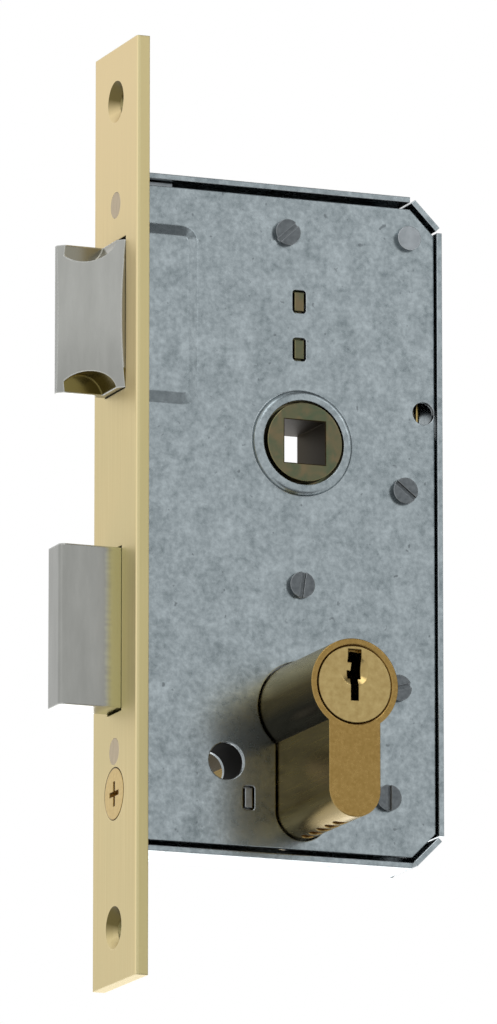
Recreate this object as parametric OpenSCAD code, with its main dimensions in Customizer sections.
// Mortise lock with a double profile cylinder.
// Frame: +X into the door, +Z up, -Y the cover side. X = 0 is the seating (back) face of the forend.
// Z = 0 is midway between the forend's screw holes. All sizes are millimetres.

/* [Forend] */
// Height of the forend
forend_h = 176; // [168:1:200]
// Width of the forend
forend_w = 22; // [20:0.5:24]
// Thickness of the forend
forend_t = 2.5; // [2:0.1:4]
// Rounding of the forend's front edges
forend_round = 0.5; // [0.2:0.1:0.9]
// Distance between the forend's screw holes
screw_spacing = 155.5; // [150:0.5:162]
// Diameter of the forend's screw holes
screw_hole_d = 4.5; // [3.5:0.1:5]
// Diameter of the countersinks
countersink_d = 8; // [6:0.1:8.4]
// Height of the upper forend rivet above the middle
upper_rivet_z = 58; // [57:0.5:58.5]
// Height of the lower forend rivet above the middle
lower_rivet_z = -45; // [-45.5:0.5:-43]
// Diameter of the forend rivets
rivet_d = 5; // [4:0.1:6]

/* [Case] */
// Depth of the case behind the forend
case_depth = 60.4; // [60:0.2:75]
// Top of the case above the middle
case_top = 63.2; // [62.8:0.2:68]
// Bottom of the case below the middle
case_bottom = 64.1; // [63.7:0.1:68]
// Half the thickness over the two plates
case_half = 5.5; // [5.5:0.1:7]
// Thickness of the case sheet
sheet_t = 1; // [0.8:0.1:1.2]
// How far the flanges stand proud of the cover
rim_proud = 0.9; // [0.3:0.1:1.5]
// Leg of the corner chamfers
corner_leg = 5.8; // [4:0.2:6]
// Open slit between two flanges
flange_slit = 1.2; // [0.5:0.1:1.5]
// Gap between the cover and the top and bottom flanges
cover_gap = 1.15; // [0.3:0.05:1.5]
// Gap between the cover and the rear flanges
cover_rear_gap = 0.3; // [0.2:0.05:1]
// Diameter of the pillars
pillar_d = 6; // [5:0.1:6.4]
// Diameter of the cover screws' heads
cover_head_d = 4.9; // [4.5:0.1:6]
// Height of the cover screws' heads
cover_head_h = 1.1; // [0.8:0.1:1.6]
// Diameter of the fixing sleeve's bore
sleeve_bore_d = 7; // [6:0.1:7.2]
// Outer diameter of the fixing sleeve
sleeve_d = 7.8; // [7.5:0.1:7.9]

/* [Latch] */
// Height of the latch's middle
latch_z = 36.4; // [36:0.1:36.8]
// Height of the latch head
latch_h = 28; // [26:0.5:28.5]
// Thickness of the latch head
latch_t = 10.3; // [9.6:0.1:10.4]
// How far the latch stands out of the forend
latch_throw = 10; // [8:0.5:10]
// Height of the latch rod and its pocket above the head's middle
latch_rise = 0.5; // [0:0.1:0.8]
// Radius of the crown of the latch's bevel
crown_r = 180; // [120:10:400]
// Flat at the tip of the latch
latch_tip = 1.6; // [1:0.1:2.5]
// Depth of the scoops at the top and bottom of the bevel
scoop_depth = 3.6; // [2:0.1:4]
// Radius of the scoops on the bevel
scoop_r = 4.4; // [4.2:0.1:4.8]
// Clearance of latch and dead bolt in the forend's openings
opening_gap = 0.2; // [0.1:0.05:0.4]
// Diameter of the latch rod
latch_rod_d = 5; // [4:0.1:5.2]
// Wire of the latch spring
latch_wire = 1; // [0.7:0.1:1.2]

/* [Follower] */
// Distance of the follower and cylinder axes from the forend's front face
backset = 35; // [34.5:0.25:35.5]
// Height of the follower's axis
follower_z = 14.5; // [14:0.25:15]
// Width of the follower's square
square_w = 8.2; // [7.2:0.1:8.4]
// Diameter of the follower's bosses
boss_d = 14.8; // [13:0.1:15.2]
// Length of the follower over its bosses
follower_len = 14; // [13.4:0.1:16]
// Diameter of the collars' holes
collar_hole_d = 16; // [15.8:0.1:16.6]
// Outer diameter of the collars
collar_d = 20; // [19:0.1:22]

/* [Dead bolt] */
// Height of the dead bolt's middle
bolt_z = -22.5; // [-22.8:0.1:-22.2]
// Height of the dead bolt
bolt_h = 30; // [26:0.5:30.5]
// Thickness of the dead bolt
bolt_t = 7; // [6:0.1:8]
// How far the dead bolt stands out when thrown
bolt_throw = 12; // [10:0.5:12.5]
// Rounding of the dead bolt's end
bolt_round = 1.1; // [0.3:0.1:1.5]

/* [Cylinder] */
// Height of the cylinder's axis
cylinder_z = -35.5; // [-35.8:0.1:-35.2]
// Diameter of the cylinder's round part
cylinder_d = 17; // [16.6:0.1:17.2]
// Width of the cylinder's web
web_w = 10; // [9.4:0.1:10.2]
// Height over the cylinder's whole profile
profile_h = 33; // [31.5:0.25:33.5]
// Length of the cylinder's cover-side half
cylinder_half = 31; // [27:0.5:45]
// Length of the cylinder's far half
far_half = 27; // [27:0.5:45]
// Diameter of the plug's face
plug_face_d = 14.2; // [13.4:0.1:14.6]
// Diameter of the plug behind its face
plug_d = 12.5; // [11.6:0.1:12.8]
// Depth of the cylinder screw below the cylinder's axis
cylinder_screw_drop = 17.4; // [17.2:0.1:17.8]
// Diameter of the cylinder screw
cylinder_screw_d = 5; // [4:0.1:5.2]
// Radius of the cam's sweep
cam_r = 14.5; // [14:0.1:14.6]
// Width of the cam's lobe
lobe_w = 7.4; // [6.5:0.1:7.6]

/* [Hidden] */
$fn = 64;
eps = 0.01;
cut = 1;

// Running fit, radial, of pins and plugs in their bores
run_fit = 0.05;
// Loose clearance between pieces that pass each other
clear = 0.4;
// Inner faces of the two plates
inner = case_half - sheet_t;
// Shared axes, from the seating face
axis_x = backset - forend_t;
rim_y = -case_half - rim_proud;

// Screwed pillars, and the plain one in the corner
guide_pillar = [axis_x - 0.3, -12.4];
spring_pillar = [case_depth - 7.5, 7];
pillar_at = [[axis_x - 3.1, case_top - 8.9], spring_pillar, guide_pillar,
             [case_depth - 11, -case_bottom + 12.9], [case_depth - 8.9, -30.4]];
corner_pillar_at = [case_depth - 6.6, case_top - 7.9];
corner_button_d = 4.6;
// Turn of each cover screw's slot
slot_turn = [42, -38, 82, 90, 15];
cover_slot_w = 0.8;
cover_hole_d = 3.2;

// Latch opening, embossed pocket and guide
opening_spare = 0.5;
rod_z = latch_z + latch_rise;
opening_h = latch_h + 2 * opening_gap + opening_spare;
opening_w = latch_t + 2 * opening_gap;
emboss_x = 11.7;
emboss_h = 34;
emboss_slope = 2.2;
emboss_round = 3;
emboss_ramp = 2.2;
emboss_rise = latch_t / 2 + 0.15 - inner;
guide_x = [axis_x - 1.4, axis_x + 0.4];
guide_tab_z = 4.55;
guide_tab_h = 3.5;
guide_margin = 0.4;
slot_gap = 0.45;
slot_round = 0.6;

// Follower arm that draws the latch, and the heel that its spring lifts
arm_r = 12.5;
arm_nose = 2.3;
arm_rest = -10;
arm_t = 4;
heel_r = 10.5;
heel_nose = 1.8;
heel_angle = 132.7;
hub_r = 8.6;
lug_x = axis_x + arm_r * sin(arm_rest) + arm_nose + 0.6;
lug_w = 3;
lug_over = 4;
lug_bottom = follower_z + hub_r + clear;

// Latch head: shoulder inside the case and thinner shank behind it
latch_tip_x = -forend_t - latch_throw;
latch_shoulder_x = emboss_x - emboss_ramp - latch_throw - clear;
latch_shank_x = 6;
shank_t = 2 * (inner - 0.7);
shank_h = 18;
latch_coil_r = 3.5;
latch_turns = 9;
bevel_lead = 0.8;
scoop_x = 0.44 * latch_throw;
scoop_back = 0.4;
rod_hold = 5;

// Return spring of the follower, wound round its pillar
follower_wire = 1.2;
follower_coil_r = pillar_d / 2 + follower_wire / 2 + clear;
follower_coil_y = [-2.2, 1.4];
spring_hole_z = 22.2;
spring_hole_d = 4.3;

// Dead bolt, its tail and its guide slot
bolt_opening_h = bolt_h + 2 * opening_gap + opening_spare;
bolt_opening_w = bolt_t + 2 * opening_gap;
bolt_tip_x = -forend_t - bolt_throw;
bolt_rear_x = 9;
tail_t = 4;
tail_lap = 5;
tail_end_x = guide_pillar[0] + pillar_d / 2 + 3.3;
tail_top = -4.6;
talon_base = 11;
tail_bottom = cylinder_z + talon_base;
talon_w = lobe_w + 2.8;
talon_top = cylinder_z + cam_r + 0.6;
talon_x = axis_x - bolt_throw / 2;
guide_slot_w = pillar_d + 0.6;
stump_at = [24, -6.8];
stump_r = 1.6;
tail_rivet_z = [-10, -19];
tail_rivet_d = 3;

// Retaining lever beside the tail, on its pivot
lever_y = [2.4, 3.9];
lever_pivot_at = [case_depth - 14.4, -0.5];
lever_pivot_r = 2;
lever_boss_r = 4.2;
lever_notch_z = stump_at[1] + stump_r + 0.3;
lever_drop = 2;
lever_back = 3.2;
lever_hook = 3;
lever_wire = 0.7;
lever_coil_r = lever_pivot_r + lever_wire / 2 + 0.25;

// Cylinder profile and inner parts
web_drop = profile_h - cylinder_d / 2;
case_fit = 0.3;
cam_gap = 4.2;
cam_half = cam_gap - 0.25;
bridge_top = cam_r + 0.3;
face_t = 1.5;
face_seam = 0.4;
spigot_r = 3.95;
spigot_len = 1;
cam_ring_r = 8;
cam_arc = 54;
keyway_top = 6.5;
keyway_mid = 1.1;
keyway_bottom = -3;
keyway_w = 2.6;
keyway_narrow = 1.5;
ward_h = 1.5;
ward_w = 0.9;
scoop_face_r = 2.8;
scoop_face_depth = 1.2;
scoop_face_z = 2.5;
pin_d = 2.7;
pin_fit = 0.06;
pin_pitch = 3.8;
pin_first = 8.6;
pin_count = 5;
shear_gap = 0.1;
key_pin_top = -3.2;
driver_len = 4;
pin_plug_len = 4;
circlip_t = 0.9;
circlip_seat = 1.2;
circlip_groove_r = 5.6;
circlip_r = 6.9;
cylinder_screw_head_d = 9.6;
cylinder_screw_tip = axis_x + web_w / 2 - 0.5;
screw_z = cylinder_z - cylinder_screw_drop;
screw_guide_x = [21.2, 22.6];
screw_guide_half = 4.4;
guide_tab_screw_h = 3.6;
fixing_at = [17.5, -46.3];

// Lugs behind the forend rivets
lug_depth = 7;
lug_h = 8;

// Drawing in the X-Z plane, made thick from y0 to y1
module across(y0, y1) {
  translate([0, y1, 0]) rotate([90, 0, 0]) linear_extrude(y1 - y0) children();
}

// Drawing in the Y-Z plane, made long from x0 to x1
module inward(x0, x1) {
  translate([x0, 0, 0]) rotate([90, 0, 90]) linear_extrude(x1 - x0) children();
}

// Round rod through the case at [x, z]
module rod_y(at, r, y0, y1) {
  across(y0, y1) translate(at) circle(r);
}

// Round rod along the lock's depth at height z
module rod_x(z, r, x0, x1) {
  inward(x0, x1) translate([0, z]) circle(r);
}

// Hole for a countersunk head in the forend, open at its front face
module countersunk(z, d, head_d) {
  depth = (head_d - d) / 2;
  rod_x(z, d / 2, -forend_t - cut, cut);
  translate([-forend_t, 0, z]) rotate([0, 90, 0]) cylinder(h = depth, r1 = head_d / 2, r2 = d / 2);
}

// Flat-sided slot with round ends between two points on one height
module slot_2d(x0, x1, z, w) {
  translate([x0, z - w / 2]) square([x1 - x0, w]);
  translate([x0, z]) circle(w / 2);
  translate([x1, z]) circle(w / 2);
}

// Raised pocket over the latch with sloping walls, on the plate face at y, from x0, carried below that face
module pocket(y, x0, below) {
  h = emboss_h / 2;
  crest_h = h - emboss_slope;
  crest_x = emboss_x - emboss_ramp;
  round_x = emboss_x - emboss_round;
  round_h = h - emboss_round;
  lean = emboss_ramp / max(emboss_rise, 0.1);
  foot_r = emboss_round - 0.03;
  low = below + 0.2;
  high = min(-emboss_rise - 0.2, low - 0.1);
  head_r = max(foot_r + high * lean, 0.05);
  translate([0, y, rod_z]) intersection() {
    inward(x0, emboss_x)
      polygon([[below, -h], [0, -h], [-emboss_rise, -crest_h], [-emboss_rise, crest_h], [0, h], [below, h]]);
    union() {
      across(-emboss_rise - cut, below + cut) {
        translate([x0 - cut, -h - cut]) square([round_x - x0 + cut, emboss_h + 2 * cut]);
        translate([x0 - cut, -round_h]) square([emboss_x - x0 + 2 * cut, 2 * round_h]);
      }
      for (side = [-1, 1]) translate([round_x, low, side * round_h]) rotate([90, 200, 0])
        cylinder(h = low - high, r1 = foot_r + low * lean, r2 = head_r);
    }
    translate([0, 0, -h]) linear_extrude(emboss_h)
      polygon([[x0, below], [emboss_x, below], [emboss_x, 0], [crest_x, -emboss_rise], [x0, -emboss_rise]]);
  }
}

// Tube of six sides along a list of points
function unit(v) = v / norm(v);
function heading(path, i) = unit(path[min(i + 1, len(path) - 1)] - path[max(i - 1, 0)]);
function ring(path, i, r, side) =
  let (t = heading(path, i), u = unit(cross(t, abs(t * side) > 0.95 ? [1, 0, 0] : side)), v = cross(u, t))
  [for (k = [0:5]) path[i] + r * (cos(60 * k) * u + sin(60 * k) * v)];

module tube(path, d, side) {
  n = len(path);
  points = [for (i = [0:n - 1]) each ring(path, i, d / 2, side)];
  walls = [for (i = [0:n - 2]) for (k = [0:5]) for (f = [0:1])
    let (a = 6 * i + k, b = 6 * i + (k + 1) % 6)
    f == 0 ? [a, b, a + 6] : [b, b + 6, a + 6]];
  ends = [for (k = [1:4]) each [[0, k + 1, k], [6 * n - 6, 6 * n - 6 + k, 6 * n - 5 + k]]];
  polyhedron(points, concat(walls, ends));
}

// Points of a coil about the Y axis at [x, z], turning from angle a0, eight to a turn
function coil_y(at, r, y0, y1, a0, turns) =
  [for (i = [0:8 * turns])
    let (s = i / (8 * turns), a = a0 + 360 * turns * s)
    [at[0] + r * cos(a), y0 + (y1 - y0) * s, at[1] + r * sin(a)]];

// Points of a coil along X at height z
function coil_x(z, r, x0, x1, turns) =
  [for (i = [0:8 * turns])
    let (s = i / (8 * turns), a = 45 * i)
    [x0 + (x1 - x0) * s, r * cos(a), z + r * sin(a)]];

// Profile of the cylinder, with an even allowance all round
module profile_2d(gap) {
  r = web_w / 2 + gap;
  translate([axis_x, cylinder_z]) circle(cylinder_d / 2 + gap);
  translate([axis_x - r, cylinder_z - web_drop + web_w / 2]) square([2 * r, web_drop - web_w / 2]);
  translate([axis_x, cylinder_z - web_drop + web_w / 2]) circle(r);
}

// Outline of the case plates, drawn in from the folded edges
module case_outline(inset, rear) {
  x1 = case_depth - rear;
  top = case_top - inset;
  bottom = -case_bottom + inset;
  leg = corner_leg - (inset + rear) * (1 - sqrt(2) / 2);
  polygon([[0, bottom], [x1 - leg, bottom], [x1, bottom + leg], [x1, top - leg], [x1 - leg, top], [0, top]]);
}

// Everything that is pierced through both plates alike
module plate_holes_2d() {
  translate([axis_x, follower_z]) circle(collar_hole_d / 2);
  profile_2d(case_fit);
  translate(fixing_at) circle(sleeve_bore_d / 2);
  for (side = [-1, 1]) tab_slot(guide_x, rod_z + side * guide_tab_z, guide_tab_h);
  tab_slot(screw_guide_x, screw_z, guide_tab_screw_h);
  translate([spring_pillar[0] + follower_coil_r, spring_hole_z]) circle(spring_hole_d / 2);
}

// Round-cornered slot in a plate for the tab of a guide
module tab_slot(xs, z, h) {
  half_w = (xs[1] - xs[0]) / 2 + slot_gap;
  half_h = h / 2 + slot_gap;
  translate([(xs[0] + xs[1]) / 2, z]) {
    square([2 * (half_w - slot_round), 2 * half_h], center = true);
    square([2 * half_w, 2 * (half_h - slot_round)], center = true);
    for (i = [-1, 1], j = [-1, 1])
      translate([i * (half_w - slot_round), j * (half_h - slot_round)]) circle(slot_round);
  }
}

// Raised collar round the follower's hole, on the face at y = 0 towards -Y
module collar() {
  mid = (collar_hole_d + collar_d) / 4;
  bead = (collar_d - collar_hole_d) / 4;
  translate([axis_x, 0, follower_z]) rotate([90, 0, 0]) rotate_extrude() intersection() {
    union() {
      translate([mid, 0]) circle(bead);
      translate([collar_hole_d / 2, -bead]) square([bead, 2 * bead]);
    }
    translate([collar_hole_d / 2, 0]) square([2 * bead + cut, 2 * bead]);
  }
}

// One pressed plate: flat sheet with the latch pocket and the follower's collar, cover side up
module pressed_plate(inset, rear) {
  difference() {
    union() {
      across(-case_half, -inner) case_outline(inset, rear);
      pocket(-case_half, 0, sheet_t / 2);
      translate([0, -case_half, 0]) collar();
    }
    pocket(-inner, -cut, cut);
    across(-case_half - cut, -inner + cut) plate_holes_2d();
  }
}

module forend() {
  half = forend_w / 2;
  r = forend_round;
  color("goldenrod") difference() {
    translate([0, 0, -forend_h / 2]) linear_extrude(forend_h) union() {
      translate([-forend_t + r, -half]) square([forend_t - r, forend_w]);
      translate([-forend_t, -half + r]) square([forend_t, forend_w - 2 * r]);
      for (side = [-1, 1]) translate([-forend_t + r, side * (half - r)]) circle(r);
    }
    for (side = [-1, 1]) countersunk(side * screw_spacing / 2, screw_hole_d, countersink_d);
    for (z = [upper_rivet_z, lower_rivet_z]) rod_x(z, rivet_d / 2, -forend_t - cut, cut);
    countersunk(screw_z, cylinder_screw_d + 0.4, cylinder_screw_head_d + 0.4);
    inward(-forend_t - cut, cut) {
      translate([-opening_w / 2, latch_z - latch_h / 2 - opening_gap]) square([opening_w, opening_h]);
      translate([-bolt_opening_w / 2, bolt_z - bolt_opening_h / 2]) square([bolt_opening_w, bolt_opening_h]);
    }
  }
}

module case_body() {
  straight_x = case_depth - corner_leg - flange_slit / 2;
  short_len = corner_leg * sqrt(2) - flange_slit;
  middle = case_depth - corner_leg / 2;
  color("lightsteelblue") {
    difference() {
      mirror([0, 1, 0]) pressed_plate(0, 0);
      for (at = pillar_at) rod_y(at, cover_hole_d / 2, inner - cut, case_half + cut);
      rod_y(corner_pillar_at, cover_hole_d / 2, inner - cut, case_half + cut);
    }
    across(rim_y, inner) {
      translate([0, case_top - sheet_t]) square([straight_x, sheet_t]);
      translate([0, -case_bottom]) square([straight_x, sheet_t]);
      translate([case_depth - sheet_t, -case_bottom + corner_leg + flange_slit / 2])
        square([sheet_t, case_top + case_bottom - 2 * corner_leg - flange_slit]);
      translate([middle, case_top - corner_leg / 2]) rotate(-45)
        translate([-short_len / 2, -sheet_t]) square([short_len, sheet_t]);
      translate([middle, -case_bottom + corner_leg / 2]) rotate(45)
        translate([-short_len / 2, 0]) square([short_len, sheet_t]);
    }
  }
}

module cover_plate() {
  color("lightsteelblue") difference() {
    pressed_plate(sheet_t + cover_gap, sheet_t + cover_rear_gap);
    for (at = pillar_at) rod_y(at, cover_hole_d / 2, -case_half - cut, -inner + cut);
    rod_y(corner_pillar_at, cover_hole_d / 2, -case_half - cut, -inner + cut);
  }
}

// Turned pillars, each with a riveted spigot in the back plate and a threaded bore for its screw
module pillars() {
  tap_r = cover_hole_d / 2 - 0.2;
  color("silver") for (at = pillar_at) difference() {
    union() {
      rod_y(at, pillar_d / 2, -inner, inner);
      rod_y(at, cover_hole_d / 2 - run_fit, inner - eps, case_half + 0.4);
    }
    rod_y(at, tap_r, -inner - cut, 0);
  }
}

module cover_screws() {
  shank_r = cover_hole_d / 2 - 0.25;
  color("slategray") for (i = [0:len(pillar_at) - 1]) difference() {
    union() {
      rod_y(pillar_at[i], cover_head_d / 2, -case_half - cover_head_h, -case_half);
      rod_y(pillar_at[i], shank_r, -case_half - eps, -0.5);
    }
    across(-case_half - cover_head_h - cut, -case_half - cover_head_h / 2)
      translate(pillar_at[i]) rotate(slot_turn[i]) square([cover_head_d + cut, cover_slot_w], center = true);
  }
}

module corner_rivet() {
  color("silver") {
    rod_y(corner_pillar_at, pillar_d / 2, -inner, inner);
    rod_y(corner_pillar_at, cover_hole_d / 2 - run_fit, -case_half - eps, case_half + 0.4);
    rod_y(corner_pillar_at, corner_button_d / 2, -case_half - cover_head_h, -case_half);
  }
}

module forend_lugs() {
  color("silver") for (z = [upper_rivet_z, lower_rivet_z]) difference() {
    inward(0, lug_depth) translate([-inner, z - lug_h / 2]) square([2 * inner, lug_h]);
    rod_x(z, rivet_d / 2, -cut, lug_depth + cut);
  }
}

module forend_rivets() {
  color("gray") for (z = [upper_rivet_z, lower_rivet_z]) {
    rod_x(z, rivet_d / 2 - run_fit, -forend_t, lug_depth + 0.6);
  }
}

module latch_guide() {
  color("goldenrod") difference() {
    union() {
      inward(guide_x[0], guide_x[1]) translate([-inner, rod_z - guide_tab_z - guide_tab_h / 2 - guide_margin])
        square([2 * inner, 2 * guide_tab_z + guide_tab_h + 2 * guide_margin]);
      for (side = [-1, 1]) inward(guide_x[0], guide_x[1])
        translate([-case_half, rod_z + side * guide_tab_z - guide_tab_h / 2])
          square([2 * case_half, guide_tab_h]);
    }
    rod_x(rod_z, latch_rod_d / 2 + 2 * run_fit, guide_x[0] - cut, guide_x[1] + cut);
  }
}

module screw_guide() {
  color("silver") difference() {
    union() {
      inward(screw_guide_x[0], screw_guide_x[1]) translate([-inner, screw_z - screw_guide_half])
        square([2 * inner, 2 * screw_guide_half]);
      inward(screw_guide_x[0], screw_guide_x[1]) translate([-case_half, screw_z - guide_tab_screw_h / 2])
        square([2 * case_half, guide_tab_screw_h]);
    }
    rod_x(screw_z, cylinder_screw_d / 2 + 0.2, screw_guide_x[0] - cut, screw_guide_x[1] + cut);
  }
}

module fixing_sleeve() {
  color("darkkhaki") difference() {
    rod_y(fixing_at, sleeve_d / 2, -inner, inner);
    rod_y(fixing_at, sleeve_bore_d / 2, -inner - cut, inner + cut);
  }
}

// Bevelled head: the slope faces the cover side, crowned, with a round scoop at its top and bottom.
// The scoops stop short of the head's back, which keeps its straight edges
module latch_head() {
  half = latch_t / 2;
  tip_y = half - latch_tip;
  run = [latch_throw - bevel_lead, -half - tip_y];
  slope = atan2(run[1], run[0]);
  middle = [latch_tip_x + run[0] / 2, (tip_y - half) / 2, latch_z];
  color("silver") difference() {
    union() {
      intersection() {
        translate([latch_tip_x, -half, latch_z - latch_h / 2])
          cube([latch_shoulder_x - latch_tip_x, latch_t, latch_h]);
        translate(middle) rotate([0, 0, slope]) translate([0, crown_r, 0]) rotate([0, 90, 0])
          cylinder(h = 8 * latch_throw, r = crown_r, center = true, $fn = 360);
      }
      inward(latch_shoulder_x - eps, latch_shank_x)
        translate([-shank_t / 2, rod_z - shank_h / 2]) square([shank_t, shank_h]);
    }
    for (side = [-1, 1])
      rod_y([latch_tip_x + scoop_x, latch_z + side * (latch_h / 2 + scoop_r - scoop_depth)],
            scoop_r, -latch_t, tip_y - scoop_back);
    rod_x(rod_z, latch_rod_d / 2, latch_shank_x - rod_hold, latch_shank_x + cut);
  }
}

module latch_tail() {
  color("silver") {
    rod_x(rod_z, latch_rod_d / 2, latch_shank_x - rod_hold, lug_x + eps);
    across(-arm_t / 2, arm_t / 2) translate([lug_x, lug_bottom])
      square([lug_w, rod_z + lug_over - lug_bottom]);
  }
}

module latch_spring() {
  x0 = latch_shank_x + latch_wire / 2 + 0.1;
  x1 = guide_x[0] - latch_wire / 2 - 0.1;
  color("gray") tube(coil_x(rod_z, latch_coil_r, x0, x1, latch_turns), latch_wire, [1, 0, 0]);
}

// Tapered arm on the follower: its angle is measured from upright towards the rear
module follower_arm(angle, r, nose) {
  translate([axis_x, follower_z]) rotate(-angle) {
    translate([-nose, 0]) square([2 * nose, r]);
    translate([0, r]) circle(nose);
  }
}

module follower() {
  at = [axis_x, follower_z];
  color("darkgoldenrod") difference() {
    union() {
      rod_y(at, boss_d / 2, -follower_len / 2, follower_len / 2);
      rod_y(at, hub_r, -inner + clear, inner - clear);
      across(-arm_t / 2, arm_t / 2) {
        follower_arm(arm_rest, arm_r, arm_nose);
        follower_arm(heel_angle, heel_r, heel_nose);
      }
    }
    across(-follower_len, follower_len) translate(at) square(square_w, center = true);
  }
}

module follower_spring() {
  rest_x = spring_pillar[0] + follower_coil_r;
  bar_top = [rest_x, follower_coil_y[0], spring_hole_z + 3];
  heel_end = [axis_x + heel_r * sin(heel_angle) - 0.7, follower_coil_y[1],
              follower_z + heel_r * cos(heel_angle) - heel_nose - follower_wire / 2 - 0.4];
  coil = coil_y(spring_pillar, follower_coil_r, follower_coil_y[0], follower_coil_y[1], 0, 2.75);
  color("goldenrod") tube(concat([bar_top], coil, [heel_end]), follower_wire, [0, 1, 0]);
}

module dead_bolt() {
  half = bolt_t / 2;
  r = bolt_round;
  color("silver") difference() {
    translate([0, 0, bolt_z - bolt_h / 2]) linear_extrude(bolt_h) union() {
      translate([bolt_tip_x + r, -half]) square([bolt_rear_x - bolt_tip_x - r, bolt_t]);
      translate([bolt_tip_x, -half + r]) square([r + eps, bolt_t - 2 * r]);
      for (side = [-1, 1]) translate([bolt_tip_x + r, side * (half - r)]) circle(r);
    }
    across(-tail_t / 2, tail_t / 2)
      translate([bolt_rear_x - tail_lap, tail_bottom]) square([tail_lap + cut, bolt_h]);
    for (z = tail_rivet_z) rod_y([bolt_rear_x - tail_lap / 2, z], tail_rivet_d / 2, -bolt_t, bolt_t);
  }
}

// Tail plate: let into the head, slotted over the guide pillar, with the notch that the cam works in
module bolt_tail() {
  x0 = bolt_rear_x - tail_lap;
  head_top = bolt_z + bolt_h / 2;
  color("lightgray") {
    difference() {
      across(-tail_t / 2, tail_t / 2) {
        translate([x0, tail_bottom]) square([tail_end_x - x0, head_top - tail_bottom]);
        translate([bolt_rear_x + 3, head_top - eps])
          square([tail_end_x - bolt_rear_x - 3, tail_top - head_top]);
      }
      across(-tail_t, tail_t) {
        slot_2d(guide_pillar[0] - bolt_throw, guide_pillar[0], guide_pillar[1], guide_slot_w);
        translate([talon_x - talon_w / 2, tail_bottom - cut])
          square([talon_w, talon_top - tail_bottom + cut]);
      }
      for (z = tail_rivet_z) rod_y([bolt_rear_x - tail_lap / 2, z], tail_rivet_d / 2, -tail_t, tail_t);
    }
    rod_y(stump_at, stump_r, tail_t / 2 - eps, lever_y[1] + 0.2);
  }
}

module bolt_rivets() {
  color("gray") for (z = tail_rivet_z) {
    rod_y([bolt_rear_x - tail_lap / 2, z], tail_rivet_d / 2 - run_fit, -bolt_t / 2, bolt_t / 2);
  }
}

// Sprung lever whose notch holds the thrown bolt by its stump: the slope lifts it as the bolt draws in
module retaining_lever() {
  px = lever_pivot_at[0];
  pz = lever_pivot_at[1];
  notch_left = stump_at[0] - stump_r - clear;
  color("silver") difference() {
    across(lever_y[0], lever_y[1]) {
      translate(lever_pivot_at) circle(lever_boss_r);
      polygon([[px, pz + lever_boss_r], [notch_left - lever_hook, lever_notch_z + lever_back],
               [notch_left - lever_hook, lever_notch_z - 2 * stump_r],
               [notch_left, lever_notch_z - 2 * stump_r],
               [notch_left, lever_notch_z], [stump_at[0] + stump_r, lever_notch_z],
               [stump_at[0] + stump_r + bolt_throw, lever_notch_z - lever_drop],
               [px, pz - lever_boss_r]]);
    }
    rod_y(lever_pivot_at, lever_pivot_r + run_fit, lever_y[0] - cut, lever_y[1] + cut);
  }
}

module lever_pivot() {
  color("gray") {
    rod_y(lever_pivot_at, lever_pivot_r, -inner, inner);
  }
}

module lever_spring() {
  near_y = lever_y[0] - lever_wire / 2 - 0.15;
  far_y = -3.4;
  x = lever_pivot_at[0];
  z = lever_pivot_at[1];
  lever_end = [stump_at[0] + 6, near_y, lever_notch_z + lever_back - 0.3];
  stop_end = [spring_pillar[0] - pillar_d / 2 - lever_wire / 2 - 0.1, far_y, spring_pillar[1] + 1];
  coil = coil_y(lever_pivot_at, lever_coil_r, near_y, far_y, 90, 5.75);
  color("gray") tube(concat([lever_end], coil, [stop_end]), lever_wire, [0, 1, 0]);
}

// Pin chambers of one half of the cylinder, at their distances from the middle
pin_y = [for (i = [0:pin_count - 1]) pin_first + pin_pitch * i];

module pin_row(side, r, z0, z1) {
  for (y = pin_y) translate([axis_x, side * y, cylinder_z + z0]) cylinder(h = z1 - z0, r = r);
}

// Seats of one half's plug face, circlip and pins, drawn for the cover side
module half_seats(half) {
  at = [axis_x, cylinder_z];
  rod_y(at, plug_face_d / 2 + run_fit, -half - cut, -half + face_t + run_fit);
  translate([axis_x, -half - cut, cylinder_z]) rotate([-90, 0, 0])
    cylinder(h = face_seam + cut, r1 = plug_face_d / 2 + face_seam + cut, r2 = plug_face_d / 2);
  rod_y(at, circlip_r + 0.2, -cam_gap - circlip_seat, -cam_gap + cut);
  pin_row(-1, pin_d / 2 + pin_fit, -web_drop - cut, 0);
}

module cylinder_body() {
  color("darkgoldenrod") difference() {
    across(-cylinder_half, far_half) profile_2d(0);
    across(-cam_gap, cam_gap)
      translate([axis_x - cylinder_d, cylinder_z - bridge_top]) square([2 * cylinder_d, 2 * cylinder_d]);
    rod_y([axis_x, cylinder_z], plug_d / 2 + run_fit, -cylinder_half - cut, far_half + cut);
    half_seats(cylinder_half);
    mirror([0, 1, 0]) half_seats(far_half);
    rod_x(screw_z, cylinder_screw_d / 2 + run_fit, axis_x - web_w, axis_x + web_w);
  }
}

module cylinder_screw() {
  head_h = (cylinder_screw_head_d - cylinder_screw_d) / 2;
  arm = 0.9;
  reach = 4.6;
  deep = 1.6;
  color("goldenrod") difference() {
    union() {
      rod_x(screw_z, cylinder_screw_d / 2, -forend_t + head_h - eps, cylinder_screw_tip);
      translate([-forend_t, 0, screw_z]) rotate([0, 90, 0])
        cylinder(h = head_h, r1 = cylinder_screw_head_d / 2, r2 = cylinder_screw_d / 2);
    }
    inward(-forend_t - cut, -forend_t + deep) translate([0, screw_z]) {
      square([arm, reach], center = true);
      square([reach, arm], center = true);
    }
  }
}

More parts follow.
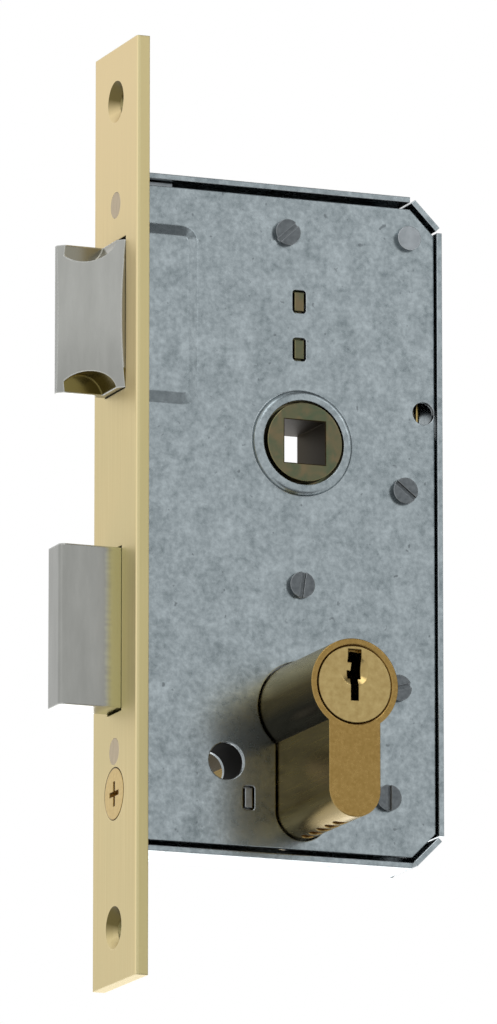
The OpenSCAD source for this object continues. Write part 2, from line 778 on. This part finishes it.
// Keyway, with the ward that stands into its left side
module keyway_2d() {
  difference() {
    union() {
      translate([-keyway_w / 2, keyway_mid]) square([keyway_w, keyway_top - keyway_mid]);
      translate([-keyway_narrow / 2, keyway_bottom])
        square([keyway_narrow, keyway_mid - keyway_bottom + eps]);
    }
    translate([-keyway_w / 2 - eps, keyway_mid + ward_h]) square([ward_w, ward_h]);
  }
}

// Plug of one half, drawn for the cover side
module plug(half) {
  at = [axis_x, cylinder_z];
  face_y = -half;
  end_y = -cam_gap - 0.05;
  difference() {
    union() {
      rod_y(at, plug_face_d / 2, face_y, face_y + face_t);
      rod_y(at, plug_d / 2, face_y + face_t - eps, end_y);
      rod_y(at, spigot_r, end_y - eps, end_y + spigot_len);
    }
    across(face_y - cut, end_y - circlip_seat - 0.5) translate(at) keyway_2d();
    translate([axis_x, face_y - cut, cylinder_z + scoop_face_z]) rotate([-90, 0, 0])
      cylinder(h = scoop_face_depth + cut, r1 = scoop_face_r * (1 + cut / scoop_face_depth), r2 = 0);
    difference() {
      rod_y(at, plug_d, end_y - circlip_t - 0.1, end_y - 0.1);
      rod_y(at, circlip_groove_r, end_y - circlip_seat - cut, end_y + cut);
    }
    pin_row(-1, pin_d / 2 + pin_fit, -plug_d, key_pin_top + 1);
  }
}

module near_plug() {
  color("goldenrod") plug(cylinder_half);
}

module far_plug() {
  color("goldenrod") mirror([0, 1, 0]) plug(far_half);
}

module cam() {
  at = [axis_x, cylinder_z];
  color("silver") difference() {
    union() {
      rod_y(at, cam_ring_r, -cam_half, cam_half);
      across(-cam_half, cam_half) intersection() {
        translate(at) circle(cam_r);
        translate(at) rotate(cam_arc / 2) translate([-lobe_w / 2, 0]) square([lobe_w, cam_r]);
      }
    }
    rod_y(at, spigot_r + run_fit, -cam_half - cut, cam_half + cut);
  }
}

module clutch_dog() {
  at = [axis_x, cylinder_z];
  color("gray") difference() {
    rod_y(at, spigot_r, -cam_half + spigot_len, cam_half - spigot_len);
    across(-cam_half, cam_half) translate(at) square([keyway_narrow, 2 * keyway_narrow], center = true);
  }
}

// Open spring ring in the groove at the plug's inner end, drawn for the cover side
module circlip() {
  at = [axis_x, cylinder_z];
  end_y = -cam_gap - 0.05;
  difference() {
    rod_y(at, circlip_r, end_y - circlip_t - 0.05, end_y - 0.15);
    rod_y(at, circlip_groove_r + run_fit, end_y - circlip_t - cut, end_y + cut);
    across(end_y - circlip_t - cut, end_y + cut) translate([axis_x - 3, cylinder_z])
      square([6, circlip_r + cut]);
  }
}

module near_circlip() {
  color("gray") circlip();
}

module far_circlip() {
  color("gray") mirror([0, 1, 0]) circlip();
}

// Pins stand with their ends at the shear line, as the right key sets them
key_pin_bottom = -sqrt(pow(plug_d / 2, 2) - pow(pin_d / 2, 2)) + 0.05;

module near_key_pins() {
  color("gold") pin_row(-1, pin_d / 2, key_pin_bottom, key_pin_top);
}

module far_key_pins() {
  color("gold") pin_row(1, pin_d / 2, key_pin_bottom, key_pin_top);
}

driver_top = -plug_d / 2 - shear_gap;
spring_top = driver_top - driver_len;
spring_bottom = -web_drop + pin_plug_len + 0.6;

module driver_pins() {
  color("silver") for (side = [-1, 1]) pin_row(side, pin_d / 2, spring_top, driver_top);
}

module pin_springs() {
  color("gray") for (side = [-1, 1]) pin_row(side, pin_d / 2 - 0.2, spring_bottom, spring_top);
}

module pin_plugs() {
  color("peru") for (side = [-1, 1]) pin_row(side, pin_d / 2, -web_drop + 0.6, spring_bottom);
}

forend();
case_body();
cover_plate();
pillars();
cover_screws();
corner_rivet();
forend_lugs();
forend_rivets();
latch_guide();
screw_guide();
fixing_sleeve();
latch_head();
latch_tail();
latch_spring();
follower();
follower_spring();
dead_bolt();
bolt_tail();
bolt_rivets();
retaining_lever();
lever_pivot();
lever_spring();
cylinder_body();
cylinder_screw();
near_plug();
far_plug();
cam();
clutch_dog();
near_circlip();
far_circlip();
near_key_pins();
far_key_pins();
driver_pins();
pin_springs();
pin_plugs();
